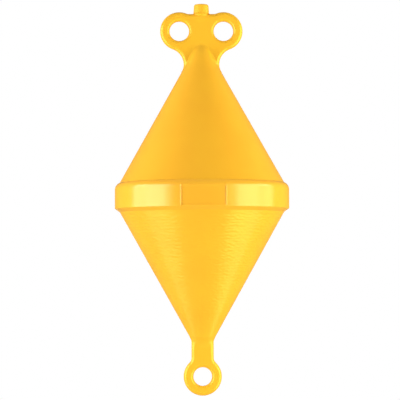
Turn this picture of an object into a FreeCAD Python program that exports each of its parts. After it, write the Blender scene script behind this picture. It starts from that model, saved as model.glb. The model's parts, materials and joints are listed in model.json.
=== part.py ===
import FreeCAD, Part
import math
import os

from FreeCAD import Vector

# Mooring buoy: two hollow cones base to base with a belt round the middle, a flat lug with two eyes and a
# round plug on top, and a short neck with one eye underneath. Moulded in polyethylene, so the pieces meet
# face to face.
#
# Millimetres. The origin is on the buoy's axis, halfway up the belt, where it floats. Z is up, X runs across
# the two upper eyes, and the hole of every eye runs along Y.

# Shell
shell_wall = 4.0                  # square to the surface

# Belt
belt_radius = 160.0
belt_top = 27.0                   # where the upper cone starts
belt_top_step = 9.0               # the belt's radius less the upper cone's
belt_shoulder = 23.1              # where shoulder and upright wall would meet, before rounding
belt_shoulder_rounding = 14.0
belt_lower_edge = -20.3           # where upright wall and lower slope would meet, before rounding
belt_lower_rounding = 2.5
belt_bottom = -27.2               # where the lower cone starts
belt_bottom_step = 9.2            # the belt's radius less the lower cone's

# Bare name panels on the belt, one in front and one behind
panel_width = 81.5
panel_bottom = -18.0
panel_top = 17.0
panel_depth = 0.8
panel_rib_radius = 1.2            # half-round ribs at both ends of each panel
panel_rib_stand_out = 1.0

# Cones, each given by the point where its sides would meet
upper_cone_point = 295.9
lower_cone_point = -297.6
cone_end_radius = 8.0             # flat ends, hidden in the lugs

# Lugs, shared by the three eyes
lug_thickness = 18.0
lug_edge_rounding = 7.0
eye_edge_rounding = 6.5
rounding_share = 0.47             # most of a lug's thickness, or of a ring's width, that a rounding may take
seam_beside_eye = 0.75            # flat left between an eye's rounded edge and the web's side
sink = 0.3                        # how far a lug's blend runs into its cone
lug_foot = 12.0                   # how far a lug carries on inside its cone

# Upper lug
upper_eye_offset = 40.6           # from the axis, along X
upper_eye_rise = 10.3             # above the upper cone's point
upper_eye_hole_radius = 18.0
upper_eye_ring_width = 17.25
upper_lug_blend = 30.0            # between the ring and the cone
saddle_rise = 42.2                # top of the web above the upper cone's point
saddle_blend = 12.0               # between the web's top and the ring

# Plug
plug_top_radius = 13.2
plug_foot_radius = 14.4
plug_height = 17.7
plug_top_rounding = 3.5
plug_lip_width = 0.7
plug_lip_height = 1.5
plug_stem_radius = 6.0
plug_stem_length = 24.0
plug_clearance = 0.1
boss_inset = 0.5                  # the seat under the plug is that much smaller than its foot
boss_slope = 45.0                 # degrees, from the seat back into the web

# Lower lug
lower_eye_drop = 30.1             # below the lower cone's point
lower_eye_hole_radius = 17.0
lower_eye_ring_width = 17.9
neck_half_width = 20.35
neck_upper_blend = 16.0           # between cone and neck
neck_lower_blend = 12.0           # between neck and ring
neck_seam_rise = 6.0              # seam of neck and ring, above the hole's rounded edge

ORIGIN = Vector(0, 0, 0)
UP = Vector(0, 0, 1)


# ---- outlines ----------------------------------------------------------------------------------------------

def flat(point):
    """A point (x, z) of an outline, in the plane Y = 0."""
    return Vector(point[0], 0, point[1])


def line(start, end):
    return Part.LineSegment(flat(start), flat(end)).toShape()


def toward(start, end, distance):
    """The point that far from start, on the way to end."""
    reach = math.dist(start, end)
    share = distance / reach
    return (start[0] + share * (end[0] - start[0]), start[1] + share * (end[1] - start[1]))


def arc(start, end, centre, turn):
    """Arc from start to end about centre; turn is 1 for anticlockwise and -1 for clockwise."""
    radius = math.dist(start, centre)
    first = math.atan2(start[1] - centre[1], start[0] - centre[0])
    last = math.atan2(end[1] - centre[1], end[0] - centre[0])
    sweep = (last - first) * turn % (2 * math.pi)
    halfway = first + turn * sweep / 2
    middle = (centre[0] + radius * math.cos(halfway), centre[1] + radius * math.sin(halfway))
    return Part.Arc(flat(start), flat(middle), flat(end)).toShape()


def closed_face(corners):
    """Face inside corners given as (x, z, rounding)."""
    edges = []
    ends = []
    for index, (x, z, rounding) in enumerate(corners):
        corner = (x, z)
        before = corners[index - 1][:2]
        after = corners[(index + 1) % len(corners)][:2]
        if rounding == 0:
            ends.append((corner, corner))
            continue
        back = (math.atan2(before[1] - z, before[0] - x) - math.atan2(after[1] - z, after[0] - x)) % (2 * math.pi)
        half = min(back, 2 * math.pi - back) / 2
        setback = rounding / math.tan(half)
        first = toward(corner, before, setback)
        last = toward(corner, after, setback)
        midpoint = ((first[0] + last[0]) / 2, (first[1] + last[1]) / 2)
        top = toward(corner, midpoint, rounding / math.sin(half) - rounding)
        edges.append(Part.Arc(flat(first), flat(top), flat(last)).toShape())
        ends.append((first, last))
    for index, (first, last) in enumerate(ends):
        next_first = ends[(index + 1) % len(ends)][0]
        edges.append(line(last, next_first))
    return Part.Face(Part.Wire(Part.__sortEdges__(edges)))


def turned(face, degrees=360.0, start=0.0):
    """Face turned about the buoy's axis, from start degrees round from +X."""
    solid = face.revolve(ORIGIN, UP, degrees)
    solid.rotate(ORIGIN, UP, start)
    return solid


def blend_centre(point, direction, circle_centre, reach):
    """Where the line through point meets the circle of radius reach, at the far end along direction."""
    offset = (point[0] - circle_centre[0], point[1] - circle_centre[1])
    along = offset[0] * direction[0] + offset[1] * direction[1]
    rest = offset[0] ** 2 + offset[1] ** 2 - reach ** 2
    step = -along + math.sqrt(along ** 2 - rest)
    return (point[0] + step * direction[0], point[1] + step * direction[1])


def mirrored(edges):
    """The edges and their mirror images across the buoy's axis."""
    return edges + [edge.mirror(ORIGIN, Vector(1, 0, 0)) for edge in edges]


# ---- cones -------------------------------------------------------------------------------------------------

def cone_slope(base_radius, base_height, point_height):
    """Radius lost for each millimetre of height."""
    return base_radius / abs(point_height - base_height)


def inner_point(slope, point_height):
    """Height where the sides would meet inside, one wall in from the outside."""
    inset = shell_wall / math.sin(math.atan(slope))
    return point_height - math.copysign(inset, point_height)


upper_cone_base_radius = belt_radius - belt_top_step
lower_cone_base_radius = belt_radius - belt_bottom_step
upper_slope = cone_slope(upper_cone_base_radius, belt_top, upper_cone_point)
lower_slope = cone_slope(lower_cone_base_radius, belt_bottom, lower_cone_point)
upper_inner_point = inner_point(upper_slope, upper_cone_point)
lower_inner_point = inner_point(lower_slope, lower_cone_point)
upper_end = upper_cone_point - cone_end_radius / upper_slope
lower_end = lower_cone_point + cone_end_radius / lower_slope
plug_bore_radius = plug_stem_radius + plug_clearance


def upper_cone_outside():
    """The space inside the upper cone's outer surface."""
    return turned(closed_face([
        (0, belt_top, 0),
        (upper_cone_base_radius, belt_top, 0),
        (cone_end_radius, upper_end, 0),
        (0, upper_end, 0),
    ]))


def lower_cone_outside():
    """The space inside the lower cone's outer surface."""
    return turned(closed_face([
        (0, belt_bottom, 0),
        (lower_cone_base_radius, belt_bottom, 0),
        (cone_end_radius, lower_end, 0),
        (0, lower_end, 0),
    ]))


def upper_cone():
    """Hollow cone, open to the belt below and to the plug's bore above."""
    return turned(closed_face([
        ((upper_inner_point - belt_top) * upper_slope, belt_top, 0),
        (upper_cone_base_radius, belt_top, 0),
        (cone_end_radius, upper_end, 0),
        (plug_bore_radius, upper_end, 0),
        (plug_bore_radius, upper_inner_point - plug_bore_radius / upper_slope, 0),
    ]))


def lower_cone():
    """Hollow cone, open to the belt above and closed at its end."""
    inner_end = lower_end + shell_wall
    return turned(closed_face([
        (0, inner_end, 0),
        (max(inner_end - lower_inner_point, 0) * lower_slope, inner_end, 0),
        ((belt_bottom - lower_inner_point) * lower_slope, belt_bottom, 0),
        (lower_cone_base_radius, belt_bottom, 0),
        (cone_end_radius, lower_end, 0),
        (0, lower_end, 0),
    ]))


# ---- belt --------------------------------------------------------------------------------------------------

shoulder_turn = math.atan2(belt_top_step, belt_top - belt_shoulder)
lower_turn = math.atan2(belt_bottom_step, belt_lower_edge - belt_bottom)


def belt_section():
    """The belt's section, one wall thick."""
    inner_radius = belt_radius - shell_wall
    return closed_face([
        ((upper_inner_point - belt_top) * upper_slope, belt_top, 0),
        (upper_cone_base_radius, belt_top, 0),
        (belt_radius, belt_shoulder, belt_shoulder_rounding),
        (belt_radius, belt_lower_edge, belt_lower_rounding),
        (lower_cone_base_radius, belt_bottom, 0),
        ((belt_bottom - lower_inner_point) * lower_slope, belt_bottom, 0),
        (inner_radius, belt_lower_edge + shell_wall * math.tan(lower_turn / 2), 0),
        (inner_radius, belt_shoulder - shell_wall * math.tan(shoulder_turn / 2), 0),
    ])


def panel_recess(half_angle, middle):
    """What the panel leaves out of the belt's surface, about the middle angle in degrees."""
    bottom_radius = belt_radius - panel_depth
    outer_radius = belt_radius + panel_depth
    section = closed_face([
        (bottom_radius, panel_bottom, 0),
        (outer_radius, panel_bottom, 0),
        (outer_radius, panel_top, 0),
        (bottom_radius, panel_top, 0),
    ])
    return turned(section, 2 * half_angle, middle - half_angle)


def panel_rib(angle):
    """Half-round rib that runs up the belt's wall and follows the start of its shoulder."""
    centre_radius = belt_radius + panel_rib_stand_out - panel_rib_radius
    bend_radius = belt_shoulder_rounding + panel_rib_stand_out - panel_rib_radius
    bend_height = belt_shoulder - belt_shoulder_rounding * math.tan(shoulder_turn / 2)
    bend_centre = (centre_radius - bend_radius, bend_height)
    bend_angle = math.asin((panel_top - bend_height) / belt_shoulder_rounding)
    foot = (centre_radius, panel_bottom)
    knee = (centre_radius, bend_height)
    head = (bend_centre[0] + bend_radius * math.cos(bend_angle), bend_height + bend_radius * math.sin(bend_angle))
    path = Part.Wire([line(foot, knee), arc(knee, head, bend_centre, 1)])
    section = Part.Wire(Part.makeCircle(panel_rib_radius, flat(foot), UP))
    rib = path.makePipeShell([section], True, False)
    for end in (foot, head):
        rib = rib.fuse(Part.makeSphere(panel_rib_radius, flat(end)))
    rib.rotate(ORIGIN, UP, angle)
    return rib


def belt():
    """Hollow belt with a shallow bare panel front and rear, each between two upright ribs."""
    half_angle = math.degrees(math.asin(panel_width / 2 / belt_radius))
    solid = turned(belt_section())
    for middle in (-90.0, 90.0):
        solid = solid.cut(panel_recess(half_angle, middle))
        for side in (-1, 1):
            solid = solid.fuse(panel_rib(middle + side * half_angle))
    return solid.removeSplitter()


# ---- lugs --------------------------------------------------------------------------------------------------

def largest_rounding(ring_width):
    return rounding_share * min(lug_thickness, ring_width)


def rounded_plate(outline, holes, foot_height, ring_width):
    """Lug of the shared thickness with rounded edges. The edge at foot_height, hidden in the cone, stays square."""
    face = Part.Face(Part.Wire(Part.__sortEdges__(outline)))
    plate = face.extrude(Vector(0, lug_thickness, 0))
    plate.translate(Vector(0, -lug_thickness / 2, 0))
    limit = largest_rounding(ring_width)
    rim = []
    for edge in plate.Edges:
        on_face = abs(abs(edge.BoundBox.YMin) - lug_thickness / 2) < 1e-6 and edge.BoundBox.YLength < 1e-6
        at_foot = abs(edge.CenterOfMass.z - foot_height) < 1e-6
        if on_face and not at_foot:
            rim.append(edge)
    plate = plate.makeFillet(min(lug_edge_rounding, limit), rim)
    for centre, radius in holes:
        start = Vector(centre[0], -lug_thickness, centre[1])
        plate = plate.cut(Part.makeCylinder(radius, 2 * lug_thickness, start, Vector(0, 1, 0)))
    mouths = []
    for edge in plate.Edges:
        for centre, radius in holes:
            curve = edge.Curve
            if isinstance(curve, Part.Circle) and abs(curve.Radius - radius) < 1e-6 and edge.BoundBox.YLength < 1e-6:
                if math.dist((curve.Center.x, curve.Center.z), centre) < 1e-6:
                    mouths.append(edge)
    return plate.makeFillet(min(eye_edge_rounding, limit), mouths)


def blend_on_cone(base_slope, point_height, blend, circle_centre, reach):
    """Centre of a lug's blend arc beside the cone, and where it runs into the cone, for the side x > 0."""
    angle = math.atan(base_slope)
    way = -math.copysign(1, point_height)
    normal = (math.cos(angle), -way * math.sin(angle))
    along = (math.sin(angle), way * math.cos(angle))
    start = (normal[0] * (blend - sink), point_height + normal[1] * (blend - sink))
    centre = blend_centre(start, along, circle_centre, reach)
    foot = (centre[0] - normal[0] * blend, centre[1] - normal[1] * blend)
    return centre, foot, along


upper_eye = (upper_eye_offset, upper_cone_point + upper_eye_rise)
lower_eye = (0.0, lower_cone_point - lower_eye_drop)
saddle = upper_cone_point + saddle_rise
eye_rounding = min(eye_edge_rounding, largest_rounding(upper_eye_ring_width))
web_half_width = upper_eye_offset - upper_eye_hole_radius - eye_rounding - seam_beside_eye


def upper_lug_plate():
    """Plate with both upper eyes, joined to the cone by arcs and to each other by the web."""
    ring = upper_eye_hole_radius + upper_eye_ring_width
    centre, foot, along = blend_on_cone(
        upper_slope, upper_cone_point, upper_lug_blend, upper_eye, ring + upper_lug_blend)
    heel = (foot[0] + lug_foot * along[0], foot[1] + lug_foot * along[1])
    saddle_centre_height = saddle + saddle_blend
    reach = ring + saddle_blend
    rise = saddle_centre_height - upper_eye[1]
    saddle_centre = (upper_eye[0] - math.sqrt(reach ** 2 - rise ** 2), saddle_centre_height)
    ring_foot = toward(upper_eye, centre, ring)
    ring_top = toward(upper_eye, saddle_centre, ring)
    saddle_end = (saddle_centre[0], saddle)
    edges = mirrored([
        line((0, heel[1]), heel),
        line(heel, foot),
        arc(foot, ring_foot, centre, -1),
        arc(ring_foot, ring_top, upper_eye, 1),
        arc(ring_top, saddle_end, saddle_centre, -1),
        line(saddle_end, (0, saddle)),
    ])
    other_eye = (-upper_eye[0], upper_eye[1])
    holes = [(upper_eye, upper_eye_hole_radius), (other_eye, upper_eye_hole_radius)]
    return rounded_plate(edges, holes, heel[1], upper_eye_ring_width)


def lower_lug_plate():
    """Plate with the lower eye, its neck joined to the cone and to the ring by arcs."""
    ring = lower_eye_hole_radius + lower_eye_ring_width
    angle = math.atan(lower_slope)
    top_centre_x = neck_half_width + neck_upper_blend
    gap = (neck_upper_blend - sink) / math.cos(angle)
    top_centre = (top_centre_x, lower_cone_point + (top_centre_x - gap) / lower_slope)
    foot = (top_centre[0] - neck_upper_blend * math.cos(angle), top_centre[1] + neck_upper_blend * math.sin(angle))
    heel = (foot[0] + lug_foot * math.sin(angle), foot[1] + lug_foot * math.cos(angle))
    low_centre = blend_centre(
        (neck_half_width + neck_lower_blend, lower_eye[1]), (0, 1), lower_eye, ring + neck_lower_blend)
    ring_top = toward(lower_eye, low_centre, ring)
    edges = mirrored([
        line((0, heel[1]), heel),
        line(heel, foot),
        arc(foot, (neck_half_width, top_centre[1]), top_centre, 1),
        line((neck_half_width, top_centre[1]), (neck_half_width, low_centre[1])),
        arc((neck_half_width, low_centre[1]), ring_top, low_centre, 1),
        arc(ring_top, (0, lower_eye[1] - ring), lower_eye, -1),
    ])
    return rounded_plate(edges, [(lower_eye, lower_eye_hole_radius)], heel[1], lower_eye_ring_width)


def block(x_low, x_high, z_low, z_high):
    """Box to split the lug by, deeper than the plug's seat."""
    deep = 2 * (lug_thickness + plug_foot_radius)
    corner = Vector(x_low, -deep / 2, z_low)
    return Part.makeBox(x_high - x_low, deep, z_high - z_low, corner)


def plug_boss():
    """Round seat for the plug, sloping back into the web's faces."""
    radius = plug_foot_radius - boss_inset
    drop = radius / math.tan(math.radians(boss_slope))
    return Part.makeCone(0, radius, drop, Vector(0, 0, saddle - drop))


def plug_bore():
    """Passage from the web's top down into the upper cone."""
    return Part.makeCylinder(plug_bore_radius, saddle - upper_end + 1, Vector(0, 0, upper_end - 1))


def upper_lug_parts():
    """The web, and the left and right eyes that it joins."""
    lug = upper_lug_plate().fuse(plug_boss())
    lug = lug.cut(upper_cone_outside()).cut(plug_bore()).removeSplitter()
    edge = upper_eye_offset + 2 * (upper_eye_hole_radius + upper_eye_ring_width)
    low = belt_top
    high = saddle + 2 * upper_eye_ring_width
    return {
        "top_web": lug.common(block(-web_half_width, web_half_width, low, high)),
        "upper_left_eye": lug.common(block(-edge, -web_half_width, low, high)),
        "upper_right_eye": lug.common(block(web_half_width, edge, low, high)),
    }


def lower_lug_parts():
    """The neck, and the eye that it carries."""
    lug = lower_lug_plate().cut(lower_cone_outside()).removeSplitter()
    seam = lower_eye[1] + lower_eye_hole_radius + neck_seam_rise + seam_beside_eye
    edge = 2 * (lower_eye_hole_radius + lower_eye_ring_width)
    low = lower_eye[1] - edge
    return {
        "bottom_neck": lug.common(block(-edge, edge, seam, belt_bottom)),
        "bottom_eye": lug.common(block(-edge, edge, low, seam)),
    }


def top_plug():
    """Round plug: slightly tapered head with a seating lip, and a stem down the web's bore."""
    top = saddle + plug_height
    head = turned(closed_face([
        (0, saddle, 0),
        (plug_foot_radius + plug_lip_width, saddle, 0),
        (plug_foot_radius, saddle + plug_lip_height, 0),
        (plug_top_radius, top, plug_top_rounding),
        (0, top, 0),
    ]))
    stem = Part.makeCylinder(plug_stem_radius, plug_stem_length, Vector(0, 0, saddle - plug_stem_length))
    return head.fuse(stem).removeSplitter()


# ---- all pieces --------------------------------------------------------------------------------------------

def main():
    parts = {
        "upper_cone": upper_cone(),
        "belt": belt(),
        "lower_cone": lower_cone(),
        "top_plug": top_plug(),
    }
    parts.update(upper_lug_parts())
    parts.update(lower_lug_parts())
    os.makedirs("parts", exist_ok=True)
    for name, shape in parts.items():
        solids = shape.Solids
        if len(solids) != 1 or not solids[0].isValid():
            raise ValueError(f"{name} is not one sound solid")
        solids[0].exportStep(f"parts/{name}.step")
        box = solids[0].BoundBox
        print(f"{name}: {solids[0].Volume / 1000:.1f} cm3, X {box.XMin:.1f} to {box.XMax:.1f},"
              f" Y {box.YMin:.1f} to {box.YMax:.1f}, Z {box.ZMin:.1f} to {box.ZMax:.1f}")


main()
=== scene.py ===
import math

import bmesh
import bpy
import numpy as np
from mathutils import Matrix, Vector
from mathutils import noise as perlin
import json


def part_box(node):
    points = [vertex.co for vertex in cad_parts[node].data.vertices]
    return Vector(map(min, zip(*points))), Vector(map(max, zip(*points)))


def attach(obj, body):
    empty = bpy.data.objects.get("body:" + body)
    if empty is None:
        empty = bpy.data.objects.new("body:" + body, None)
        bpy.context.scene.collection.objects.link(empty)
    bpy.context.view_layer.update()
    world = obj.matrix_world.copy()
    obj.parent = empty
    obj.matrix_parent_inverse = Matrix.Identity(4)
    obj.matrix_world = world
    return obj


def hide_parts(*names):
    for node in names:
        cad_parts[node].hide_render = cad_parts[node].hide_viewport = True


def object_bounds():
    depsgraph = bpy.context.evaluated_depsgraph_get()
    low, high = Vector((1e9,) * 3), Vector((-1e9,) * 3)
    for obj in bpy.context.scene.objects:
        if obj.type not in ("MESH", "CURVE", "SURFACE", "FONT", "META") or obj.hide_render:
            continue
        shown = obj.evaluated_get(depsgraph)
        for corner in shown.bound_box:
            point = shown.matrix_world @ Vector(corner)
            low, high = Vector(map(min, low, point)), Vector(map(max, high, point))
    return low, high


# Mooring buoy in moulded yellow polyethylene. Metres. The origin is on the buoy's axis, halfway up its belt.
# Z is up, X runs across the two upper eyes, and the eyes' holes run along Y.

MILLIMETRE = 0.001


# ---- the frame and what is measured from it ----------------------------------------------------------------

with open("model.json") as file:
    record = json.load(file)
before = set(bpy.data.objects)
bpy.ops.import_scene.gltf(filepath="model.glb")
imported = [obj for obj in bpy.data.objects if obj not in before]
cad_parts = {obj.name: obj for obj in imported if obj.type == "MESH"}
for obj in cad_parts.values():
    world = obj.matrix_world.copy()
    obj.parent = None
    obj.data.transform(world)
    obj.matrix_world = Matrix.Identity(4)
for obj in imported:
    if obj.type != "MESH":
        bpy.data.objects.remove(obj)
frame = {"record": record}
cad_low, cad_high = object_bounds()
scene = bpy.context.scene
scene.view_settings.view_transform = "Standard"

CONE_END_RADIUS = 8 * MILLIMETRE        # flat ends of the cones, hidden in the lugs


def mount(name):
    """Position and hole radius of a mount."""
    row = next(row for row in frame["record"]["mounts"] if row["name"] == name)
    return Vector(row["pos_m"]), row["dims"]["r_mm"] * MILLIMETRE


def cone_measures(node, base_side):
    """Height and radius of a cone's base, its slope, and the height where its sides would meet."""
    low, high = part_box(node)
    base, end = (low.z, high.z) if base_side < 0 else (high.z, low.z)
    slope = (high.x - CONE_END_RADIUS) / abs(end - base)
    return base, high.x, slope, base - base_side * high.x / slope


upper_base, upper_base_radius, upper_slope, upper_point = cone_measures("upper_cone", -1)
lower_base, lower_base_radius, lower_slope, lower_point = cone_measures("lower_cone", 1)
upper_eye, upper_hole_radius = mount("upper_right_eye")
lower_eye, lower_hole_radius = mount("bottom_eye")
belt_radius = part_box("belt")[1].x
lug_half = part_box("bottom_eye")[1].y
upper_ring_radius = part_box("upper_right_eye")[1].x - upper_eye.x
lower_ring_radius = lower_eye.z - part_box("bottom_eye")[0].z
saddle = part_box("top_web")[1].z
web_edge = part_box("top_web")[1].x
neck_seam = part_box("bottom_eye")[1].z


# ---- outlines of the lugs, right half ----------------------------------------------------------------------

UPPER_BLEND = 30 * MILLIMETRE           # radius of the hollow between an upper ring and the cone
SADDLE_BLEND = 12 * MILLIMETRE          # radius of the hollow between an upper ring and the web's top
NECK_HALF_WIDTH = 20.35 * MILLIMETRE
NECK_UPPER_BLEND = 16 * MILLIMETRE      # radius of the hollow between the lower cone and the neck
NECK_LOWER_BLEND = 12 * MILLIMETRE      # radius of the hollow between the neck and its ring
BLEND_SINK = 0.3 * MILLIMETRE           # how far the hollows beside the cones cut into the cones' sides
LUG_FOOT = 12 * MILLIMETRE              # how far a lug goes on inside its cone
ARC_STEP = math.radians(3)


def polar(centre, radius, angle):
    return (centre[0] + radius * math.cos(angle), centre[1] + radius * math.sin(angle))


def toward(start, end, distance):
    """The place at that distance from start, on the way to end."""
    share = distance / math.dist(start, end)
    return (start[0] + share * (end[0] - start[0]), start[1] + share * (end[1] - start[1]))


def arc(centre, start, end, turn):
    """Points from start to end about centre; turn is 1 for anticlockwise and -1 for clockwise."""
    first = math.atan2(start[1] - centre[1], start[0] - centre[0])
    last = math.atan2(end[1] - centre[1], end[0] - centre[0])
    sweep = (last - first) * turn % (2 * math.pi)
    count = max(2, round(sweep / ARC_STEP))
    radius = math.dist(start, centre)
    return [polar(centre, radius, first + turn * sweep * step / count) for step in range(count + 1)]


def far_crossing(point, way, centre, reach):
    """Where the line through point meets the circle about centre, at the far end along way."""
    offset = (point[0] - centre[0], point[1] - centre[1])
    along = offset[0] * way[0] + offset[1] * way[1]
    step = math.sqrt(along ** 2 - math.hypot(*offset) ** 2 + reach ** 2) - along
    return (point[0] + step * way[0], point[1] + step * way[1])


def upper_outline():
    """From inside the cone up round the right ring and along the web's top."""
    eye = (upper_eye.x, upper_eye.z)
    angle = math.atan(upper_slope)
    normal = (math.cos(angle), math.sin(angle))
    along = (math.sin(angle), -math.cos(angle))
    start = (normal[0] * (UPPER_BLEND - BLEND_SINK), upper_point + normal[1] * (UPPER_BLEND - BLEND_SINK))
    centre = far_crossing(start, along, eye, upper_ring_radius + UPPER_BLEND)
    foot = toward(centre, (centre[0] - normal[0], centre[1] - normal[1]), UPPER_BLEND)
    height = saddle + SADDLE_BLEND
    width = math.sqrt((upper_ring_radius + SADDLE_BLEND) ** 2 - (height - eye[1]) ** 2)
    dip = (eye[0] - width, height)
    ring_foot = toward(eye, centre, upper_ring_radius)
    ring_top = toward(eye, dip, upper_ring_radius)
    points = [(0, foot[1] - LUG_FOOT)]
    points += arc(centre, foot, ring_foot, -1)
    points += arc(eye, ring_foot, ring_top, 1)
    points += arc(dip, ring_top, (dip[0], saddle), -1)
    return points + [(0, saddle)]


def lower_outline():
    """From inside the cone down along the neck and round the ring."""
    eye = (lower_eye.x, lower_eye.z)
    angle = math.atan(lower_slope)
    side = NECK_HALF_WIDTH + NECK_UPPER_BLEND
    gap = (NECK_UPPER_BLEND - BLEND_SINK) / math.cos(angle)
    centre = (side, lower_point + (side - gap) / lower_slope)
    foot = (side - NECK_UPPER_BLEND * math.cos(angle), centre[1] + NECK_UPPER_BLEND * math.sin(angle))
    beside = (NECK_HALF_WIDTH + NECK_LOWER_BLEND, eye[1])
    low_centre = far_crossing(beside, (0, 1), eye, lower_ring_radius + NECK_LOWER_BLEND)
    ring_top = toward(eye, low_centre, lower_ring_radius)
    points = [(0, foot[1] + LUG_FOOT)]
    points += arc(centre, foot, (NECK_HALF_WIDTH, centre[1]), 1)
    points += arc(low_centre, (NECK_HALF_WIDTH, low_centre[1]), ring_top, 1)
    return points + arc(eye, ring_top, (0, eye[1] - lower_ring_radius), -1)


# ---- distances, negative inside ----------------------------------------------------------------------------

LUG_ROUNDING = 7 * MILLIMETRE           # of the lugs' outer edges
EYE_ROUNDING = 6.5 * MILLIMETRE         # of the holes' edges
BOSS_RADIUS = 13.9 * MILLIMETRE         # seat under the plug, sloping back into the web
BOSS_SOFTNESS = 10 * MILLIMETRE         # of the hollow beside it: grows to this down from the web's top,
LEAST_SOFTNESS = 0.01 * MILLIMETRE      # from this
TIP_BULGE = 2.2 * MILLIMETRE            # how far the upper cone's blunt tip stands out from a straight cone
TIP_RISE = (236 * MILLIMETRE, 268 * MILLIMETRE)     # heights between which it comes out
TIP_FALL = (269 * MILLIMETRE, 283 * MILLIMETRE)     # and between which it goes back


def to_outline(outline, x, z):
    """From points in the lug's plane to its outline, whose left half mirrors the right."""
    x = np.abs(x)
    shape = np.broadcast_shapes(x.shape, z.shape)
    nearest = np.full(shape, np.inf)
    inside = np.zeros(shape, bool)
    for (ax, az), (bx, bz) in zip(outline, outline[1:]):
        dx = bx - ax
        dz = bz - az
        length = dx * dx + dz * dz
        if length == 0:
            continue
        share = np.clip(((x - ax) * dx + (z - az) * dz) / length, 0, 1)
        nearest = np.minimum(nearest, (x - ax - share * dx) ** 2 + (z - az - share * dz) ** 2)
        if dz != 0:
            inside ^= ((az > z) != (bz > z)) & (x < dx * (z - az) / dz + ax)
    return np.sqrt(nearest) * np.where(inside, -1, 1)


def rounded_slab(flat, y, rounding):
    """To a slab as thick as the lugs with rounded edges, from the distance to its outline."""
    across = flat + rounding
    through = np.abs(y) - lug_half + rounding
    outside = np.hypot(np.maximum(across, 0), np.maximum(through, 0))
    return outside + np.minimum(np.maximum(across, through), 0) - rounding


def soft_join(first, second, width):
    """The nearer of two surfaces, with a smooth hollow where they meet."""
    share = np.maximum(width - np.abs(first - second), 0) / width
    return np.minimum(first, second) - share * share * width / 4


def eased(share):
    """A share from 0 to 1 that starts and stops gently."""
    return share * share * (3 - 2 * share)


def fading(value, start, end):
    """1 up to start and 0 from end, smooth between."""
    return 1 - eased(np.clip((value - start) / (end - start), 0, 1))


def to_cone(x, y, z, point, slope):
    """To the side of a cone; the slope is negative for one that points down."""
    return (np.hypot(x, y) - (point - z) * slope) * math.cos(math.atan(slope))


class Lug:
    """A lug and the cone that it grows from, as distances."""

    def __init__(self, outline, eyes, hole_radius, point, slope, face_softness, edge_softness, fade, flat):
        self.outline = outline
        self.eyes = eyes
        self.hole_radius = hole_radius
        self.point = point
        self.slope = slope
        self.face_softness = face_softness
        self.edge_softness = edge_softness
        self.fade = fade
        self.flat = flat

    def cone(self, x, y, z):
        """The cone alone, with the upper one's blunt tip."""
        bulge = TIP_BULGE * (1 - fading(z, *TIP_RISE)) * fading(z, *TIP_FALL)
        return to_cone(x, y, z, self.point, self.slope) - bulge

    def plate(self, x, y, z):
        """The lug alone, with its holes, and with the plug's seat on the upper one."""
        solid = rounded_slab(to_outline(self.outline, x, z), y, LUG_ROUNDING)
        for eye in self.eyes:
            hole = self.hole_radius - np.hypot(x - eye[0], z - eye[1])
            solid = np.maximum(solid, rounded_slab(hole, y, EYE_ROUNDING))
        if len(self.eyes) == 2:
            seat = (np.hypot(x, y) - (z - saddle + BOSS_RADIUS)) * math.sqrt(0.5)
            softness = np.clip(saddle - z, LEAST_SOFTNESS, BOSS_SOFTNESS)
            solid = soft_join(solid, np.maximum(seat, z - saddle), softness)
        return solid

    def seam(self, x, y, z):
        """Negative on the lug's part of the skin, positive on the cone's."""
        return self.plate(x, y, z) - self.cone(x, y, z)

    def skin(self, x, y, z):
        """Lug and cone together, with one hollow between them on the lug's faces and another at its edges.

        Between the heights in flat, the cone's tip flattens into the lug."""
        wider = (self.face_softness - self.edge_softness) * fading(np.abs(x), *self.fade)
        plate = self.plate(x, y, z)
        joined = soft_join(plate, self.cone(x, y, z), self.edge_softness + wider)
        return joined + (plate - joined) * fading(z, *self.flat)


EDGE_SOFTNESS = 2 * MILLIMETRE          # of the hollow between lug and cone at the lugs' edges
UPPER_FACE_SOFTNESS = 3 * MILLIMETRE    # and on their faces
LOWER_FACE_SOFTNESS = 12 * MILLIMETRE
UPPER_FADE = (16 * MILLIMETRE, 34 * MILLIMETRE)         # from the axis: a face up to here, an edge from here
LOWER_FADE = (8 * MILLIMETRE, 21 * MILLIMETRE)
UPPER_FLAT = (-1, -0.9)                 # far below the buoy: the upper cone's tip never flattens
LOWER_FLAT = (-279 * MILLIMETRE, -254 * MILLIMETRE)     # the lower one is flat up to here and round from here

upper_lug = Lug(
    upper_outline(), [(upper_eye.x, upper_eye.z), (-upper_eye.x, upper_eye.z)], upper_hole_radius,
    upper_point, upper_slope, UPPER_FACE_SOFTNESS, EDGE_SOFTNESS, UPPER_FADE, UPPER_FLAT)
lower_lug = Lug(
    lower_outline(), [(lower_eye.x, lower_eye.z)], lower_hole_radius,
    lower_point, -lower_slope, LOWER_FACE_SOFTNESS, EDGE_SOFTNESS, LOWER_FADE, LOWER_FLAT)


# ---- skins -------------------------------------------------------------------------------------------------

SKIN_STEP = 1.1 * MILLIMETRE
PROBE = 0.01 * MILLIMETRE               # step along which a field's growth is measured
SETTLING_STEPS = 2
LEAST_GROWTH = 0.05                     # keeps them short where a field is nearly level
SAME_PLACE = 0.001 * MILLIMETRE


def uphill(field, points):
    """The field's values at points and its directions of growth."""
    value = field(*points.T)
    growth = [field(*(points + PROBE * way).T) - value for way in np.eye(3)]
    return value, np.stack(growth, 1) / PROBE


def crossings(value, axis):
    """Grid edges along one axis where the field changes sign: their starts, and its values at both ends."""
    ahead = np.roll(value, -1, axis)
    crossing = (value < 0) != (ahead < 0)
    np.moveaxis(crossing, axis, 0)[-1] = False
    at = np.argwhere(crossing)
    return at, value[tuple(at.T)], ahead[tuple(at.T)]


def cells_round(at, axis):
    """The four grid cells round each grid edge along that axis, in turn."""
    first, second = (np.eye(3, dtype=int)[(axis + turn) % 3] for turn in (1, 2))
    return np.stack([at, at - first, at - first - second, at - second], 1)


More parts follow.
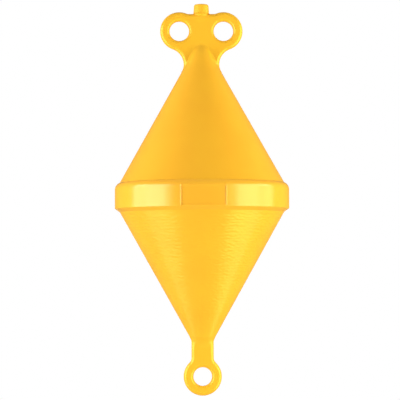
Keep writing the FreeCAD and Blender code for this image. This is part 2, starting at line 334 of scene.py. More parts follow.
def settle(field, points, middle):
    """Moves points onto the field's surface, and the middle ones onto y = 0 as well."""
    for _ in range(SETTLING_STEPS):
        value, growth = uphill(field, points)
        points -= growth * (value / np.maximum((growth ** 2).sum(1), LEAST_GROWTH))[:, None]
        points[middle, 1] = 0


def front_skin(field, low, high):
    """Points and triangles of the half y <= 0 of a field's surface; its edge lies on y = 0."""
    rows = math.ceil(-low[1] / SKIN_STEP)
    axes = [
        np.arange(low[0], high[0] + SKIN_STEP, SKIN_STEP),
        (np.arange(-rows, 1) + 0.5) * SKIN_STEP,
        np.arange(low[2], high[2] + SKIN_STEP, SKIN_STEP),
    ]
    value = field(*np.meshgrid(*axes, indexing="ij", sparse=True))
    corner = np.array([axis[0] for axis in axes])
    cells = np.array(value.shape) - 1
    total = np.zeros((*cells, 3))
    count = np.zeros(cells, int)
    rings = []
    for axis in range(3):
        at, here, there = crossings(value, axis)
        place = corner + SKIN_STEP * (at + (here / (here - there))[:, None] * np.eye(3)[axis])
        ring = cells_round(at, axis)
        held = np.all((ring >= 0) & (ring < cells), 2)
        for cell, kept in zip(ring.swapaxes(0, 1), held.T):
            np.add.at(total, tuple(cell[kept].T), place[kept])
            np.add.at(count, tuple(cell[kept].T), 1)
        ring = np.where((here < 0)[:, None, None], ring, ring[:, ::-1])
        rings.append(ring[held.all(1)])
    used = count > 0
    number = np.full(cells, -1)
    number[used] = np.arange(used.sum())
    points = total[used] / count[used][:, None]
    settle(field, points, np.argwhere(used)[:, 1] == cells[1] - 1)
    quads = np.concatenate([number[tuple(np.moveaxis(ring, 2, 0))] for ring in rings])
    return points, np.concatenate([quads[:, [0, 1, 2]], quads[:, [0, 2, 3]]])


def shape_of(points, faces):
    """An editable mesh."""
    shape = bmesh.new()
    corners = [shape.verts.new(point) for point in points]
    for face in faces:
        shape.faces.new([corners[index] for index in face])
    return shape


def places_in(shape):
    return np.array([vertex.co for vertex in shape.verts])


def cut(shape, values):
    """Splits a triangle mesh's edges and faces where values, one for each vertex, change sign."""
    value_of = dict(zip(shape.verts, values))
    on_line = set()
    for edge in list(shape.edges):
        first, last = edge.verts
        if value_of[first] * value_of[last] < 0:
            share = value_of[first] / (value_of[first] - value_of[last])
            _, added = bmesh.utils.edge_split(edge, first, share)
            value_of[added] = 0
            on_line.add(added)
    for face in list(shape.faces):
        met = [vertex for vertex in face.verts if vertex in on_line]
        if len(met) == 2:
            bmesh.utils.face_split(face, *met)
    bmesh.ops.triangulate(shape, faces=shape.faces)


def labelled_skin(lug, low, high, seams, label):
    """The front half of a lug's skin, cut along its seams: points, triangles and each triangle's label.

    Triangles with an empty label are left out."""
    shape = shape_of(*front_skin(lug.skin, low, high))
    for seam in seams:
        values = seam(*places_in(shape).T)
        values[np.abs(values) < SAME_PLACE] = SAME_PLACE
        cut(shape, values)
    shape.verts.index_update()
    points = places_in(shape)
    faces = np.array([[vertex.index for vertex in face.verts] for face in shape.faces])
    shape.free()
    labels = label(*points[faces].mean(1).T)
    kept = labels != ""
    return points, faces[kept], labels[kept]


def closed_half(faces, labels, wanted, points):
    """A label's triangles, both halves, and the walls across Y that close it along its seams."""
    mirror = np.arange(len(points))
    mirror[np.abs(points[:, 1]) > SAME_PLACE] += len(points)
    side_of = {}
    for face, name in zip(faces, labels):
        for first, last in zip(face, np.roll(face, -1)):
            side_of[(first, last)] = name
    own = faces[labels == wanted]
    result = [tuple(face) for face in own]
    result += [tuple(mirror[face[::-1]]) for face in own]
    for face in own:
        for first, last in zip(face, np.roll(face, -1)):
            if side_of.get((last, first), wanted) != wanted:
                wall = [last, first, mirror[first], mirror[last]]
                result.append(tuple(dict.fromkeys(wall)))
    return result


def skin_part(skin, wanted):
    """Points and faces of the part of a skin with that label, both halves."""
    points, faces, labels = skin
    faces = closed_half(faces, labels, wanted, points)
    used = sorted({index for face in faces for index in face})
    place = {index: order for order, index in enumerate(used)}
    both = np.concatenate([points, points * (1, -1, 1)])
    return both[used], [tuple(place[index] for index in face) for face in faces]


# ---- pieces ------------------------------------------------------------------------------------------------

NO_RING = -1


def add_piece(name, node, points, faces, normals, rings, material):
    """A piece from points and faces, shaded smooth by the normals given; a zero normal leaves Blender's own.

    Edges between points of the same numbered ring are hard."""
    mesh = bpy.data.meshes.new(name)
    mesh.from_pydata([tuple(point) for point in points], [], faces)
    mesh.polygons.foreach_set("use_smooth", [True] * len(mesh.polygons))
    ends = np.zeros(2 * len(mesh.edges), int)
    mesh.edges.foreach_get("vertices", ends)
    first, last = rings[ends].reshape(-1, 2).T
    mesh.edges.foreach_set("use_edge_sharp", (first == last) & (first != NO_RING))
    mesh.update()
    corners = np.zeros(len(mesh.loops), int)
    mesh.loops.foreach_get("vertex_index", corners)
    mesh.normals_split_custom_set(normals[corners].tolist())
    mesh.materials.append(material)
    piece = bpy.data.objects.new(name, mesh)
    scene.collection.objects.link(piece)
    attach(piece, "root")
    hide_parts(node)


def lug_piece(node, lug, skin, material):
    """One of a lug's parts, as a closed piece with the skin's own smooth normals."""
    points, faces = skin_part(skin, node)
    _, normals = uphill(lug.skin, points)
    add_piece(node + "_skin", node, points, faces, normals, np.full(len(points), NO_RING), material)


# ---- cones -------------------------------------------------------------------------------------------------

UPPER_SPLICE = 222 * MILLIMETRE         # height where a cone's turned part gives way to its lug's skin
LOWER_SPLICE = -246 * MILLIMETRE
SPLICE_GAP = 2 * MILLIMETRE             # bridged between the two
SKIN_MARGIN = 4 * MILLIMETRE
CONE_COLUMNS = 400
UPPER_CONE_ROWS = 80
LOWER_CONE_ROWS = 205                   # about five to each row of its grain
GRAIN_HEIGHT = 0.46 * MILLIMETRE        # on the lower cone; the upper one is smooth
GRAIN_ROW = 5.4 * MILLIMETRE            # from one row of the grain to the next
GRAIN_DRIFT = 4.5                       # radians: how far the rows wander up and down
DRIFT_SIZE = (7, 7, 14)                 # millimetres along X, Y and Z
PEBBLE_SIZE = (6, 6, 5)
ROW_SHARE = 0.3
PEBBLE_SHARE = 0.6
GRAIN_START = 6 * MILLIMETRE            # length over which the grain sets in at the cone's base,
GRAIN_STOP = 30 * MILLIMETRE            # and over which it dies out before the splice
GRAIN_LEAST = 0.3                       # share of its depth that it would have at the cone's point


def stretched_noise(point, size):
    """Noise whose features have that size along X, Y and Z, in millimetres."""
    return perlin.noise(Vector([place / length for place, length in zip(point, size)]) / MILLIMETRE)


def grain(point):
    """Height of the moulded grain there, from 0 to 1: fine wavy rows, broken up by flat pebbles."""
    drift = GRAIN_DRIFT * stretched_noise(point, DRIFT_SIZE)
    rows = math.cos(2 * math.pi * point.z / GRAIN_ROW + drift)
    pebbles = stretched_noise(point, PEBBLE_SIZE)
    return min(max(0.5 + ROW_SHARE * rows + PEBBLE_SHARE * pebbles, 0), 1)


def cone_profile(base, splice, point, slope, rows):
    """Radius, height and share of grain from a cone's base to its splice."""
    profile = []
    end = splice - math.copysign(SPLICE_GAP, splice)
    widest = abs(point - base) * slope
    for row in range(rows + 1):
        height = base + (end - base) * row / rows
        radius = abs(point - height) * slope
        share = min(abs(height - base) / GRAIN_START, abs(splice - height) / GRAIN_STOP, 1)
        depth = eased(share) * (GRAIN_LEAST + (1 - GRAIN_LEAST) * radius / widest)
        profile.append((radius, height, depth))
    return profile


def turned_row(shape, radius, height, deepest):
    """A ring of a cone's vertices, sunk between the high places of its grain."""
    row = []
    for column in range(CONE_COLUMNS):
        angle = 2 * math.pi * column / CONE_COLUMNS
        place = Vector((radius * math.cos(angle), radius * math.sin(angle), height))
        inward = deepest * (1 - grain(place)) if deepest else 0
        place.x -= inward * math.cos(angle)
        place.y -= inward * math.sin(angle)
        row.append(shape.verts.new(place))
    return row


def cone_piece(node, lug, skin, profile, relief, material):
    """A cone: turned below its lug, with the lug's skin at its end. The profile starts at its base."""
    points, faces = skin_part(skin, "cone")
    shape = shape_of(points, faces)
    rim = [edge for edge in shape.edges if edge.is_boundary]
    turned = [turned_row(shape, radius, height, depth * relief) for radius, height, depth in profile]
    for near, far in zip(turned, turned[1:]):
        for column in range(CONE_COLUMNS):
            after = (column + 1) % CONE_COLUMNS
            shape.faces.new([near[column], near[after], far[after], far[column]])
    shape.faces.new(turned[0])
    last = turned[-1]
    rim += [shape.edges.get((last[column], last[column - 1])) for column in range(CONE_COLUMNS)]
    bmesh.ops.bridge_loops(shape, edges=rim)
    bmesh.ops.recalc_face_normals(shape, faces=shape.faces)
    shape.verts.index_update()
    shape.normal_update()
    places = places_in(shape)
    normals = np.array([vertex.normal for vertex in shape.verts])
    _, growth = uphill(lug.skin, places[:len(points)])
    normals[:len(points)] = growth
    base = [vertex.index for vertex in turned[0]]
    normals[base] = 0
    rings = np.full(len(places), NO_RING)
    rings[base] = 0
    corners = [tuple(vertex.index for vertex in face.verts) for face in shape.faces]
    shape.free()
    add_piece(node + "_skin", node, places, corners, normals, rings, material)


def upper_label(x, y, z):
    """Which part each place on the upper skin belongs to; none below the splice."""
    part = np.where(np.abs(x) < web_edge, "top_web", np.where(x < 0, "upper_left_eye", "upper_right_eye"))
    part = np.where(upper_lug.seam(x, y, z) > 0, "cone", part)
    return np.where(z < UPPER_SPLICE, "", part)


def lower_label(x, y, z):
    """Which part each place on the lower skin belongs to; none above the splice."""
    part = np.where(z > neck_seam, "bottom_neck", "bottom_eye")
    part = np.where(lower_lug.seam(x, y, z) > 0, "cone", part)
    return np.where(z > LOWER_SPLICE, "", part)


def upper_skin():
    """The upper lug's skin, cut at the splice, along the lug's foot and at the web's sides."""
    reach = upper_eye.x + upper_ring_radius + SKIN_MARGIN
    deep = (upper_point - UPPER_SPLICE) * upper_slope + SKIN_MARGIN
    top = upper_eye.z + upper_ring_radius + SKIN_MARGIN
    seams = [
        lambda x, y, z: z - UPPER_SPLICE,
        upper_lug.seam,
        lambda x, y, z: np.abs(x) - web_edge,
    ]
    return labelled_skin(
        upper_lug, (-reach, -deep, UPPER_SPLICE - SKIN_MARGIN), (reach, 0, top), seams, upper_label)


def lower_skin():
    """The lower lug's skin, cut at the splice, along the lug's foot and below the neck."""
    deep = (LOWER_SPLICE - lower_point) * lower_slope + SKIN_MARGIN
    reach = max(deep, lower_ring_radius + SKIN_MARGIN)
    bottom = lower_eye.z - lower_ring_radius - SKIN_MARGIN
    seams = [
        lambda x, y, z: z - LOWER_SPLICE,
        lower_lug.seam,
        lambda x, y, z: z - neck_seam,
    ]
    return labelled_skin(
        lower_lug, (-reach, -deep, bottom), (reach, 0, LOWER_SPLICE + SKIN_MARGIN), seams, lower_label)


def upper_lug_and_cone(lug_material, cone_material):
    skin = upper_skin()
    for node in ("top_web", "upper_left_eye", "upper_right_eye"):
        lug_piece(node, upper_lug, skin, lug_material)
    profile = cone_profile(upper_base, UPPER_SPLICE, upper_point, upper_slope, UPPER_CONE_ROWS)
    cone_piece("upper_cone", upper_lug, skin, profile, 0, cone_material)


def lower_lug_and_cone(lug_material, cone_material):
    skin = lower_skin()
    for node in ("bottom_neck", "bottom_eye"):
        lug_piece(node, lower_lug, skin, lug_material)
    profile = cone_profile(lower_base, LOWER_SPLICE, lower_point, lower_slope, LOWER_CONE_ROWS)
    cone_piece("lower_cone", lower_lug, skin, profile, GRAIN_HEIGHT, cone_material)


# ---- turned pieces -----------------------------------------------------------------------------------------

PROFILE_STEP = 0.8 * MILLIMETRE


def along_profile(corners):
    """Evenly spaced (radius, height) along straight runs with rounded corners (radius, height, rounding)."""
    path = []
    for index, (radius, height, rounding) in enumerate(corners):
        if rounding == 0:
            path.append((radius, height))
            continue
        before = corners[index - 1][:2]
        after = corners[index + 1][:2]
        back = math.atan2(before[1] - height, before[0] - radius)
        ahead = math.atan2(after[1] - height, after[0] - radius)
        opening = math.remainder(back - ahead, 2 * math.pi)
        half = abs(opening) / 2
        start = toward((radius, height), before, rounding / math.tan(half))
        end = toward((radius, height), after, rounding / math.tan(half))
        between = ((start[0] + end[0]) / 2, (start[1] + end[1]) / 2)
        middle = toward((radius, height), between, rounding / math.sin(half))
        path += arc(middle, start, end, 1 if opening > 0 else -1)
    reach = [0.0]
    for first, last in zip(path, path[1:]):
        reach.append(reach[-1] + math.dist(first, last))
    places = np.linspace(0, reach[-1], round(reach[-1] / PROFILE_STEP) + 1)
    return np.stack([np.interp(places, reach, [point[axis] for point in path]) for axis in (0, 1)], 1)


def turned_piece(name, node, radius, height, angles, hard, hollow, material):
    """A piece from its radius and height at each row, from top to bottom, and at each angle.

    Edges along a row in hard are hard. A hollow piece comes back up inside to its first row; a solid one is
    capped at both ends."""
    rows, columns = radius.shape
    points = np.stack([radius * np.cos(angles), radius * np.sin(angles), height], 2).reshape(-1, 3)
    faces = []
    for row in range(rows if hollow else rows - 1):
        here = row * columns
        below = (row + 1) % rows * columns
        for column in range(columns):
            after = (column + 1) % columns
            faces.append((here + column, below + column, below + after, here + after))
    if not hollow:
        faces.append(tuple(range(columns)))
        faces.append(tuple(reversed(range((rows - 1) * columns, rows * columns))))
    rings = np.full((rows, columns), NO_RING)
    for row in hard:
        rings[row] = row
    add_piece(name, node, points, faces, np.zeros((rows * columns, 3)), rings.reshape(-1), material)


# ---- belt --------------------------------------------------------------------------------------------------

BELT_SHOULDER = 23.1 * MILLIMETRE       # where shoulder and upright wall would meet, before rounding
SHOULDER_ROUNDING = 14 * MILLIMETRE
BELT_LOWER_EDGE = -20.7 * MILLIMETRE
LOWER_EDGE_ROUNDING = 1.5 * MILLIMETRE
BELT_WALL = 4 * MILLIMETRE
BELT_COLUMNS = 360
PANEL_WIDTH = 81.5 * MILLIMETRE         # between the middles of its two upright ribs
PANEL_BOTTOM = -18 * MILLIMETRE
PANEL_TOP = 17 * MILLIMETRE
PANEL_DEPTH = 0.8 * MILLIMETRE
PANEL_SIDE_SLOPE = 0.2 * MILLIMETRE     # to each side of the panel's edge, as it sinks in
PANEL_FOOT_SLOPE = 0.3 * MILLIMETRE
PANEL_TOP_SLOPE = 3 * MILLIMETRE        # below the panel's top
RIB_RADIUS = 1.2 * MILLIMETRE
RIB_SINK = 0.2 * MILLIMETRE             # the middle of a rib's section below the wall's surface
RIB_COLUMNS = 17
RIB_REACH = 1.4                         # how far these close columns go to each side, in radii of the rib


def panel_relief(across, height):
    """How far the belt's wall stands out at a distance round from a panel's middle, and at a height."""
    edge = np.abs(across) - PANEL_WIDTH / 2
    inside = fading(edge, -PANEL_SIDE_SLOPE, PANEL_SIDE_SLOPE)
    inside = inside * fading(PANEL_BOTTOM - height, -PANEL_FOOT_SLOPE, PANEL_FOOT_SLOPE)
    inside = inside * fading(height - PANEL_TOP, -PANEL_TOP_SLOPE, 0)
    past_end = np.maximum(np.maximum(height - PANEL_TOP, PANEL_BOTTOM - height), 0)
    beside = np.hypot(edge, past_end)
    rib = np.sqrt(np.maximum(RIB_RADIUS ** 2 - beside ** 2, 0)) - RIB_SINK
    return np.where(beside < RIB_RADIUS, np.maximum(rib, -PANEL_DEPTH * inside), -PANEL_DEPTH * inside)


def belt_angles():
    """Column angles: even ones, and close ones across each rib."""
    angles = list(np.linspace(-math.pi, math.pi, BELT_COLUMNS, endpoint=False))
    half = PANEL_WIDTH / 2 / belt_radius
    for middle in (-math.pi / 2, math.pi / 2):
        for side in (-half, half):
            close = np.linspace(-RIB_REACH, RIB_REACH, RIB_COLUMNS) * RIB_RADIUS / belt_radius + middle + side
            angles = [angle for angle in angles if angle < close[0] or angle > close[-1]]
            angles += list(close)
    return np.array(sorted(angles))


def belt_piece(material):
    """The belt: a turned ring with a bare panel between two ribs, front and rear."""
    outside = along_profile([
        (upper_base_radius, upper_base, 0),
        (belt_radius, BELT_SHOULDER, SHOULDER_ROUNDING),
        (belt_radius, BELT_LOWER_EDGE, LOWER_EDGE_ROUNDING),
        (lower_base_radius, lower_base, 0),
    ])
    inner = belt_radius - BELT_WALL
    inside = np.array([
        (lower_base_radius - BELT_WALL, lower_base),
        (inner, BELT_LOWER_EDGE),
        (inner, BELT_SHOULDER - SHOULDER_ROUNDING),
        (upper_base_radius - BELT_WALL, upper_base),
    ])
    along = np.gradient(outside, axis=0)
    outward = np.stack([-along[:, 1], along[:, 0]], 1) / np.hypot(*along.T)[:, None]
    angles = belt_angles()
    from_panel = np.abs(np.abs(angles) - math.pi / 2)
    relief = panel_relief(belt_radius * from_panel[None, :], outside[:, 1][:, None])
    radius = np.concatenate([
        outside[:, :1] + outward[:, :1] * relief,
        np.repeat(inside[:, :1], len(angles), 1),
    ])
    height = np.concatenate([
        outside[:, 1:] + outward[:, 1:] * relief,
        np.repeat(inside[:, 1:], len(angles), 1),
    ])
    hard = (0, len(outside) - 1, *range(len(outside), len(radius)))
    turned_piece("belt_ring", "belt", radius, height, angles, hard, True, material)


# ---- plug --------------------------------------------------------------------------------------------------

PLUG_TOP_RADIUS = 13.2 * MILLIMETRE
PLUG_FOOT_RADIUS = 14.4 * MILLIMETRE
PLUG_TOP_ROUNDING = 3.5 * MILLIMETRE
PLUG_LIP_WIDTH = 0.7 * MILLIMETRE
PLUG_LIP_HEIGHT = 1.5 * MILLIMETRE
PLUG_LIP_ROUNDING = 4 * MILLIMETRE
PLUG_STEM_RADIUS = 6 * MILLIMETRE
PLUG_CAP_RADIUS = 4 * MILLIMETRE        # flat middle of its top
PLUG_COLUMNS = 96


def plug_piece(material):
    """The round plug: slightly tapered, flaring into its foot, with a stem in the web."""
    low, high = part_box("top_plug")
    outside = along_profile([
        (PLUG_CAP_RADIUS, high.z, 0),
        (PLUG_TOP_RADIUS, high.z, PLUG_TOP_ROUNDING),
        (PLUG_FOOT_RADIUS, saddle + PLUG_LIP_HEIGHT, PLUG_LIP_ROUNDING),
        (PLUG_FOOT_RADIUS + PLUG_LIP_WIDTH, saddle, 0),
    ])
    stem = np.array([(PLUG_STEM_RADIUS, saddle), (PLUG_STEM_RADIUS, low.z)])
    profile = np.concatenate([outside, stem])
    angles = np.linspace(0, 2 * math.pi, PLUG_COLUMNS, endpoint=False)
    radius = np.repeat(profile[:, :1], PLUG_COLUMNS, 1)
    height = np.repeat(profile[:, 1:], PLUG_COLUMNS, 1)
    hard = range(len(outside) - 1, len(profile))
    turned_piece("plug_head", "top_plug", radius, height, angles, hard, False, material)


# ---- shader arithmetic -------------------------------------------------------------------------------------

class Signal:
    """One value of a finish at each point of the surface, for plain arithmetic."""

    def __init__(self, finish, socket):
        self.finish = finish
        self.socket = socket

    def combined(self, operation, first, second):
        return self.finish.node("ShaderNodeMath", {"operation": operation}, {0: first, 1: second})

    def __add__(self, other):
        return self.combined("ADD", self, other)

    def __radd__(self, other):
        return self.combined("ADD", other, self)

    def __sub__(self, other):
        return self.combined("SUBTRACT", self, other)

    def __rsub__(self, other):
        return self.combined("SUBTRACT", other, self)

    def __mul__(self, other):
        return self.combined("MULTIPLY", self, other)

    def __rmul__(self, other):
        return self.combined("MULTIPLY", other, self)


class Finish:
    """The nodes of a material or of the world, added one at a time."""

    def __init__(self, owner):
        owner.use_nodes = True
        self.tree = owner.node_tree
        self.tree.nodes.clear()

    def feed(self, socket, value):
        """Links a signal to a socket, or writes a constant on it."""
        if isinstance(value, Signal):
            self.tree.links.new(value.socket, socket)
        else:
            socket.default_value = value

    def node(self, kind, settings, inputs, output=0):
        """Adds a node of that kind, with its settings first and then its sockets, and gives one output."""
        made = self.tree.nodes.new(kind)
        for key, value in settings.items():
            setattr(made, key, value)
        for key, value in inputs.items():
            self.feed(made.inputs[key], value)
        return Signal(self, made.outputs[output]) if made.outputs else None

    def noise(self, place, size, detail=2.0):
        """Soft noise about 0.5, with features of that size."""
        return self.node(
            "ShaderNodeTexNoise", {"noise_dimensions": "3D"},
            {"Vector": place, "Scale": 1 / size, "Detail": detail})

    def ramp(self, value, low, high):
        """0 up to low and 1 from high, smooth between."""
        return self.node(
            "ShaderNodeMapRange", {"interpolation_type": "SMOOTHSTEP"},
            {"Value": value, "From Min": low, "From Max": high})

    def along(self, place, way):
        """How far a place lies along a way."""
        return self.node("ShaderNodeVectorMath", {"operation": "DOT_PRODUCT"}, {0: place, 1: way}, "Value")

    def mixed(self, share, first, second):
        """A colour between two, by share. Sockets 6 and 7 and output 2 are the node's colour ones."""
        return self.node("ShaderNodeMix", {"data_type": "RGBA"}, {0: share, 6: first, 7: second}, 2)


# ---- finishes ----------------------------------------------------------------------------------------------

SHELL_YELLOW = (0.98, 0.485, 0.027, 1)
SHELL_SHADE = (0.97, 0.465, 0.026, 1)
# The lug colours are paler than the shell's. That is painted light: it stands in for light that shines
# through the thick, solid lugs.
PAINTED_GLOW_LUG_YELLOW = (0.98, 0.515, 0.029, 1)
PAINTED_GLOW_LUG_SHADE = (0.97, 0.495, 0.028, 1)
# Painted light: towards their tips the cones' colour turns paler, into the lug colours, in place of the
# brighter shading there.
PAINTED_LIGHT_FROM = 225 * MILLIMETRE           # above or below the belt's middle: shell colours up to here,
PAINTED_LIGHT_TO = 275 * MILLIMETRE             # lug colours from here
LEMON_GLOSS = (0.9, 1.0, 0.25, 1)
PALE_GLOSS = (0.9, 1.0, 0.62, 1)
CLOUD_SIZE = 60 * MILLIMETRE            # of the patches of shade
CLOUD_EDGES = (0.35, 0.65)
MOTTLE_SIZE = 12 * MILLIMETRE           # of the patches of duller gloss
MOTTLE_DETAIL = 3
MOTTLE_STRENGTH = 0.04
WAVE_SIZE = 5 * MILLIMETRE              # of the faint waves that a mould leaves

# Tint of the gloss, index of refraction, roughness, and depth of the mould's waves, or 0 for none.
PLASTICS = {
    "shell_plastic": (LEMON_GLOSS, 1.8, 0.25, 0.02 * MILLIMETRE),
    "belt_plastic": (PALE_GLOSS, 1.82, 0.21, 0),
    "lug_plastic": (LEMON_GLOSS, 1.85, 0.22, 0.01 * MILLIMETRE),
    "plug_plastic": (LEMON_GLOSS, 1.5, 0.45, 0.01 * MILLIMETRE),
}


def moulded_plastic(name):
    """Yellow polyethylene: nearly even colour with a soft gloss, and painted light that makes it paler
    towards the lugs and on them.
    """
    gloss, ior, roughness, wave_depth = PLASTICS[name]
    material = bpy.data.materials.new(name)
    finish = Finish(material)
    place = finish.node("ShaderNodeTexCoord", {}, {}, "Object")
    height = finish.node("ShaderNodeSeparateXYZ", {}, {0: place}, "Z")
    from_belt = finish.node("ShaderNodeMath", {"operation": "ABSOLUTE"}, {0: height})
    clouds = finish.ramp(finish.noise(place, CLOUD_SIZE), *CLOUD_EDGES)
    mottle = finish.noise(place, MOTTLE_SIZE, MOTTLE_DETAIL)
    inputs = {
        # Painted light: paler towards the cones' tips and on the lugs.
        "Base Color": finish.mixed(
            finish.ramp(from_belt, PAINTED_LIGHT_FROM, PAINTED_LIGHT_TO),
            finish.mixed(clouds, SHELL_SHADE, SHELL_YELLOW),
            finish.mixed(clouds, PAINTED_GLOW_LUG_SHADE, PAINTED_GLOW_LUG_YELLOW)),
        "Roughness": roughness + MOTTLE_STRENGTH * (mottle - 0.5),
        "IOR": ior,
        "Specular Tint": gloss,
    }
    if wave_depth:
        waves = finish.noise(place, WAVE_SIZE)
        inputs["Normal"] = finish.node("ShaderNodeBump", {}, {"Height": waves, "Distance": wave_depth})
    shader = finish.node("ShaderNodeBsdfPrincipled", {}, inputs)
    finish.node("ShaderNodeOutputMaterial", {}, {"Surface": shader})
    return material


# ---- lights ------------------------------------------------------------------------------------------------

VIEW_TURN = math.radians(-1.05)         # how far round from the front the camera and its studio stand
LAMP_DISTANCE = 1.6
NEUTRAL = (1, 1, 1)
WARM = (1, 1, 0.75)
SOFTBOX_HEIGHTS = (-1.85, -0.7, 0.35, 0.95)     # edges of the low, middle and high levels

# Name of each upright strip, azimuths of its sides in degrees, brightness at the three levels, and colour.
SOFTBOX_STRIPS = (
    ("left_far", -97.5, -75, (1.2, 2.7, 3.8), NEUTRAL),
    ("left_near", -75, -46, (2.3, 3.5, 3.4), NEUTRAL),
    ("left_edge", -46, -38, (0.5, 1.2, 1.2), NEUTRAL),
    ("right_edge", 32, 44, (0.1, 0.8, 0.8), WARM),
    ("right_near", 44, 75, (3.2, 3.3, 3.1), WARM),
    ("right_far", 75, 101, (1.8, 2.2, 3.4), WARM),
)


def aim(thing, target, roll=0.0):
    """Points a lamp's or camera's -Z at the target, Y up, turned by roll degrees about its own Z."""
    way = Vector(target) - thing.location
    turn = way.to_track_quat("-Z", "Y").to_matrix() @ Matrix.Rotation(math.radians(roll), 3, "Z")
    thing.rotation_euler = turn.to_euler()


def softbox(name, first, last, low, high, radiance, colour):
    """Lamp panel between two azimuths, counted from the camera towards +X, and between two heights."""
    data = bpy.data.lights.new(name, "AREA")
    data.shape = "RECTANGLE"
    data.size = 2 * LAMP_DISTANCE * math.tan(math.radians(last - first) / 2)
    data.size_y = high - low
    data.energy = radiance * math.pi * data.size * data.size_y
    data.color = colour
    lamp = bpy.data.objects.new(name, data)
    turn = math.radians(first + last) / 2 + VIEW_TURN
    middle = (low + high) / 2
    lamp.location = (LAMP_DISTANCE * math.sin(turn), -LAMP_DISTANCE * math.cos(turn), middle)
    aim(lamp, (0, 0, middle))
    lamp.visible_camera = False
    scene.collection.objects.link(lamp)


def studio():
    """A tall softbox on each side, made of upright strips in three levels."""
    for name, first, last, strengths, colour in SOFTBOX_STRIPS:
        levels = zip(("low", "middle", "high"), SOFTBOX_HEIGHTS, SOFTBOX_HEIGHTS[1:], strengths)
        for level, low, high, strength in levels:
            softbox(f"{name}_{level}_softbox", first, last, low, high, strength, colour)


# ---- surroundings ------------------------------------------------------------------------------------------

WHITE = (1, 1, 1, 1)
AMBIENT = 0.36
REAR_FILL = 0.6
REAR_FILL_WAY = (0, 0.95, 0.3)          # towards the middle of the rear fill
REAR_FILL_EDGES = (-0.3, 0.6)           # how far along that way it starts, and where it is whole
ROOM = 0.12                             # what reflections see of the room beside the buoy
BEHIND = (0.97, 0.995)                  # how nearly straight back: the room up to here, white from here


def surroundings():
    """White behind the buoy, to the camera and in reflections, in a dimmer room with a low even fill."""
    world = bpy.data.worlds.new("studio")
    finish = Finish(world)
    camera_ray, glossy_ray, transmission_ray = (
        finish.node("ShaderNodeLightPath", {}, {}, ray)
        for ray in ("Is Camera Ray", "Is Glossy Ray", "Is Transmission Ray")
    )
    way = finish.node("ShaderNodeTexCoord", {}, {}, "Generated")
    rearward = finish.along(way, (-math.sin(VIEW_TURN), math.cos(VIEW_TURN), 0))
    reflected = glossy_ray * (ROOM + (1 - ROOM) * finish.ramp(rearward, *BEHIND))
    fill = AMBIENT + REAR_FILL * finish.ramp(finish.along(way, REAR_FILL_WAY), *REAR_FILL_EDGES)
    plain = camera_ray + transmission_ray
    other_ray = finish.node(
        "ShaderNodeMath", {"operation": "SUBTRACT", "use_clamp": True}, {0: 1 - glossy_ray, 1: plain})
    strength = plain + reflected + fill * other_ray
    light = finish.node("ShaderNodeBackground", {}, {"Color": WHITE, "Strength": strength})
    finish.node("ShaderNodeOutputWorld", {}, {"Surface": light})
    scene.world = world


# ---- floor -------------------------------------------------------------------------------------------------

FLOOR_DROP = 0.15                       # below the lower eye
FLOOR_RADIUS = 1.3
FLOOR_SIDES = 96
RIM_WIDTH = 0.5                         # in which the floor turns white
RIM_WHITE = 0.05                        # outermost part of that, all white
FLOOR_PALE = (0.92, 0.92, 0.92, 1)
FLOOR_BOUNCE = (0.67, 0.67, 0.67, 1)    # what it gives back to the buoy


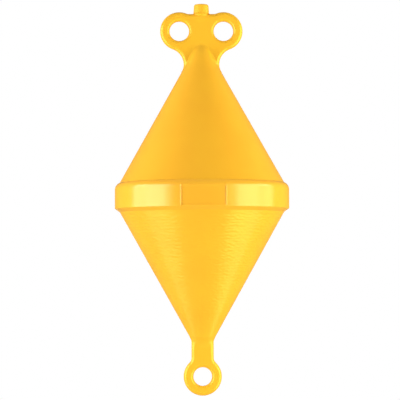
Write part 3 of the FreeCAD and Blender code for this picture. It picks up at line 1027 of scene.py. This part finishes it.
def floor_paint():
    """Pale paint that turns into the white of the surroundings at the floor's rim, and is clear from below.

    It gives the buoy less light than it shows, so that the buoy's underside stays at a plain level."""
    material = bpy.data.materials.new("floor_paint")
    finish = Finish(material)
    place = finish.node("ShaderNodeTexCoord", {}, {}, "Object")
    reach = finish.node("ShaderNodeVectorMath", {"operation": "LENGTH"}, {0: place}, "Value")
    diffuse_ray = finish.node("ShaderNodeLightPath", {}, {}, "Is Diffuse Ray")
    rim = finish.ramp(reach, FLOOR_RADIUS - RIM_WIDTH, FLOOR_RADIUS - RIM_WHITE) * (1 - diffuse_ray)
    colour = finish.mixed(diffuse_ray, FLOOR_PALE, FLOOR_BOUNCE)
    paint = finish.node("ShaderNodeBsdfDiffuse", {}, {"Color": colour})
    white = finish.node("ShaderNodeEmission", {}, {"Color": WHITE, "Strength": 1.0})
    topside = finish.node("ShaderNodeMixShader", {}, {0: rim, 1: paint, 2: white})
    beneath = finish.node("ShaderNodeNewGeometry", {}, {}, "Backfacing")
    clear = finish.node("ShaderNodeBsdfTransparent", {}, {})
    whole = finish.node("ShaderNodeMixShader", {}, {0: beneath, 1: topside, 2: clear})
    finish.node("ShaderNodeOutputMaterial", {}, {"Surface": whole})
    return material


def floor():
    """Round pale floor below the buoy."""
    shape = bmesh.new()
    bmesh.ops.create_circle(shape, cap_ends=True, segments=FLOOR_SIDES, radius=FLOOR_RADIUS)
    mesh = bpy.data.meshes.new("floor")
    shape.to_mesh(mesh)
    shape.free()
    mesh.materials.append(floor_paint())
    plate = bpy.data.objects.new("floor", mesh)
    plate.location.z = cad_low[2] - FLOOR_DROP
    scene.collection.objects.link(plate)
    plate.visible_shadow = False
    plate.visible_glossy = False


# ---- camera ------------------------------------------------------------------------------------------------

CAMERA_DISTANCE = 3.5
CAMERA_LOOK_UP = 2.2                    # degrees
CAMERA_ROLL = -0.23                     # degrees
CAMERA_REACH = 50
SENSOR_WIDTH = 36                       # millimetres
FRAME_SPAN = 0.7344                     # width of the view at the buoy
AIM = (-0.0037, 0, -0.0046)


def camera():
    """From just left of the front and just below the buoy's middle, looking up a little."""
    data = bpy.data.cameras.new("camera")
    data.sensor_width = SENSOR_WIDTH
    data.lens = SENSOR_WIDTH * CAMERA_DISTANCE / FRAME_SPAN
    data.clip_end = CAMERA_REACH
    eye = bpy.data.objects.new("camera", data)
    tilt = math.radians(CAMERA_LOOK_UP)
    level = math.cos(tilt)
    back = Vector((level * math.sin(VIEW_TURN), -level * math.cos(VIEW_TURN), -math.sin(tilt)))
    eye.location = Vector(AIM) + CAMERA_DISTANCE * back
    aim(eye, AIM, CAMERA_ROLL)
    scene.collection.objects.link(eye)
    scene.camera = eye


# ---- the buoy ----------------------------------------------------------------------------------------------

def buoy():
    """Every piece of the buoy, in the plastics of its shell, belt, lugs and plug."""
    shell = moulded_plastic("shell_plastic")
    smooth = moulded_plastic("belt_plastic")
    solid = moulded_plastic("lug_plastic")
    plug = moulded_plastic("plug_plastic")
    upper_lug_and_cone(solid, shell)
    lower_lug_and_cone(solid, shell)
    belt_piece(smooth)
    plug_piece(plug)


buoy()
floor()
studio()
surroundings()
camera()
